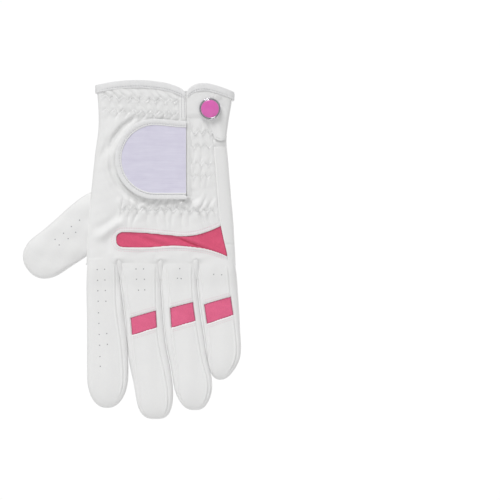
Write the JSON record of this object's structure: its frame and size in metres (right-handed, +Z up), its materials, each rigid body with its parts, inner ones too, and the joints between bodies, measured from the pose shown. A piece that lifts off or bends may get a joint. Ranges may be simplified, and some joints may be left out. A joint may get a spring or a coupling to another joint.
{
  "type": "golf glove",
  "caption": "Left-hand golf glove in thin white leather with stretch knit panels, a smocked cuff, a hook-and-loop closing tab and a magnetic ball marker.",
  "frame": {"origin": "on the hand's centre line at the height of the cuff's rim, in the middle of the wrist opening's thickness", "axes": "+Z up out of the wrist opening, the fingers point to -Z; the back of the hand faces -Y, the palm +Y; the thumb is on the -X side"},
  "size_m": [0.1393, 0.0168, 0.2176],
  "materials": {
    "white_leather": "soft satin",
    "cuff_tape": "folded binding",
    "knuckle_knit": "stretch knit",
    "finger_knit": "stretch knit",
    "elastic": "woven elastic",
    "woven_face": "fine weave",
    "hook_and_loop": "hook and loop tape",
    "chrome_metal": "polished",
    "plain_steel": "plain",
    "pink_enamel": "hard enamel, glossy"
  },
  "bodies": {
    "hand": {"back_panel": "white_leather", "cuff_binding": "cuff_tape", "cuff_elastics": "elastic", "cuff_flap": "white_leather", "knuckle_insert": "knuckle_knit", "loop_patch": "hook_and_loop", "marker_seat": "chrome_metal", "palm_panel": "white_leather", "seat_magnet": "plain_steel", "seat_rivet": "plain_steel", "side_strip": "white_leather", "tab_anchor": "white_leather", "thumb_side_wall": "white_leather", "wrist_elastic": "elastic", "wrist_gusset": "white_leather"},
    "tab": {"tab_leather": "white_leather", "tab_face_panel": "woven_face", "tab_hook_patch": "hook_and_loop", "tab_binding": "cuff_tape"},
    "marker": {"ball_marker": "chrome_metal", "marker_enamel": "pink_enamel"},
    "index_proximal": {"index_proximal_back": "white_leather", "index_proximal_fourchettes": "white_leather", "index_proximal_front": "white_leather"},
    "index_middle": {"index_middle_back": "white_leather", "index_middle_fourchettes": "white_leather", "index_middle_front": "white_leather"},
    "index_distal": {"index_distal_back": "white_leather", "index_distal_front": "white_leather"},
    "middle_proximal": {"middle_proximal_back": "white_leather", "middle_proximal_fourchettes": "white_leather", "middle_proximal_front": "white_leather", "middle_stretch_panel": "finger_knit"},
    "middle_middle": {"middle_middle_back": "white_leather", "middle_middle_fourchettes": "white_leather", "middle_middle_front": "white_leather"},
    "middle_distal": {"middle_distal_back": "white_leather", "middle_distal_front": "white_leather"},
    "ring_proximal": {"ring_proximal_back": "white_leather", "ring_proximal_fourchettes": "white_leather", "ring_proximal_front": "white_leather", "ring_stretch_panel": "finger_knit"},
    "ring_middle": {"ring_middle_back": "white_leather", "ring_middle_fourchettes": "white_leather", "ring_middle_front": "white_leather"},
    "ring_distal": {"ring_distal_back": "white_leather", "ring_distal_front": "white_leather"},
    "little_proximal": {"little_proximal_back": "white_leather", "little_proximal_fourchettes": "white_leather", "little_proximal_front": "white_leather", "little_stretch_panel": "finger_knit"},
    "little_middle": {"little_middle_back": "white_leather", "little_middle_fourchettes": "white_leather", "little_middle_front": "white_leather"},
    "little_distal": {"little_distal_back": "white_leather", "little_distal_front": "white_leather"},
    "thumb_proximal": {"thumb_proximal_back": "white_leather", "thumb_proximal_front": "white_leather"},
    "thumb_distal": {"thumb_distal_back": "white_leather", "thumb_distal_front": "white_leather"}
  },
  "joints": [
    {"name": "index_knuckle", "type": "hinge", "parent": "hand", "child": "index_proximal", "pos_m": [-0.03783, 0.005, -0.11265], "axis": [1, 0, 0], "range_deg": [0, 85]},
    {"name": "index_middle_joint", "type": "hinge", "parent": "index_proximal", "child": "index_middle", "pos_m": [-0.03609, 0.005, -0.151], "axis": [1, 0, 0], "range_deg": [0, 90]},
    {"name": "index_end_joint", "type": "hinge", "parent": "index_middle", "child": "index_distal", "pos_m": [-0.03491, 0.005, -0.177], "axis": [1, 0, 0], "range_deg": [0, 54]},
    {"name": "middle_knuckle", "type": "hinge", "parent": "hand", "child": "middle_proximal", "pos_m": [-0.0133, 0.005, -0.11265], "axis": [1, 0, 0], "range_deg": [0, 85]},
    {"name": "middle_middle_joint", "type": "hinge", "parent": "middle_proximal", "child": "middle_middle", "pos_m": [-0.00955, 0.005, -0.1583], "axis": [1, 0, 0], "range_deg": [0, 90]},
    {"name": "middle_end_joint", "type": "hinge", "parent": "middle_middle", "child": "middle_distal", "pos_m": [-0.0076, 0.005, -0.182], "axis": [1, 0, 0], "range_deg": [0, 54]},
    {"name": "ring_knuckle", "type": "hinge", "parent": "hand", "child": "ring_proximal", "pos_m": [0.01307, 0.005, -0.11265], "axis": [1, 0, 0], "range_deg": [0, 85]},
    {"name": "ring_middle_joint", "type": "hinge", "parent": "ring_proximal", "child": "ring_middle", "pos_m": [0.016, 0.005, -0.1515], "axis": [1, 0, 0], "range_deg": [0, 90]},
    {"name": "ring_end_joint", "type": "hinge", "parent": "ring_middle", "child": "ring_distal", "pos_m": [0.0178, 0.005, -0.1755], "axis": [1, 0, 0], "range_deg": [0, 54]},
    {"name": "little_knuckle", "type": "hinge", "parent": "hand", "child": "little_proximal", "pos_m": [0.03705, 0.005, -0.11265], "axis": [1, 0, 0], "range_deg": [0, 85]},
    {"name": "little_middle_joint", "type": "hinge", "parent": "little_proximal", "child": "little_middle", "pos_m": [0.03947, 0.005, -0.1472], "axis": [1, 0, 0], "range_deg": [0, 90]},
    {"name": "little_end_joint", "type": "hinge", "parent": "little_middle", "child": "little_distal", "pos_m": [0.04072, 0.005, -0.165], "axis": [1, 0, 0], "range_deg": [0, 54]},
    {"name": "thumb_base", "type": "hinge", "parent": "hand", "child": "thumb_proximal", "pos_m": [-0.04635, 0.0065, -0.0855], "axis": [-0.0645, 0, -0.9979], "range_deg": [0, 40]},
    {"name": "thumb_tip_joint", "type": "hinge", "parent": "thumb_proximal", "child": "thumb_distal", "pos_m": [-0.06559, 0.0065, -0.09964], "axis": [0.5892, 0, -0.808], "range_deg": [0, 55]},
    {"name": "tab_hinge", "type": "hinge", "parent": "hand", "child": "tab", "pos_m": [0.0175, -0.0085, -0.0435], "axis": [0, 0, 1], "range_deg": [0, 140]},
    {"name": "marker_lift", "type": "slide", "parent": "hand", "child": "marker", "axis": [0, -1, 0], "range_m": [0, 0.015]}
  ],
  "couplings": [
    {"joint": "index_end_joint", "follows": "index_middle_joint", "ratio": 0.6},
    {"joint": "middle_end_joint", "follows": "middle_middle_joint", "ratio": 0.6},
    {"joint": "ring_end_joint", "follows": "ring_middle_joint", "ratio": 0.6},
    {"joint": "little_end_joint", "follows": "little_middle_joint", "ratio": 0.6}
  ]
}
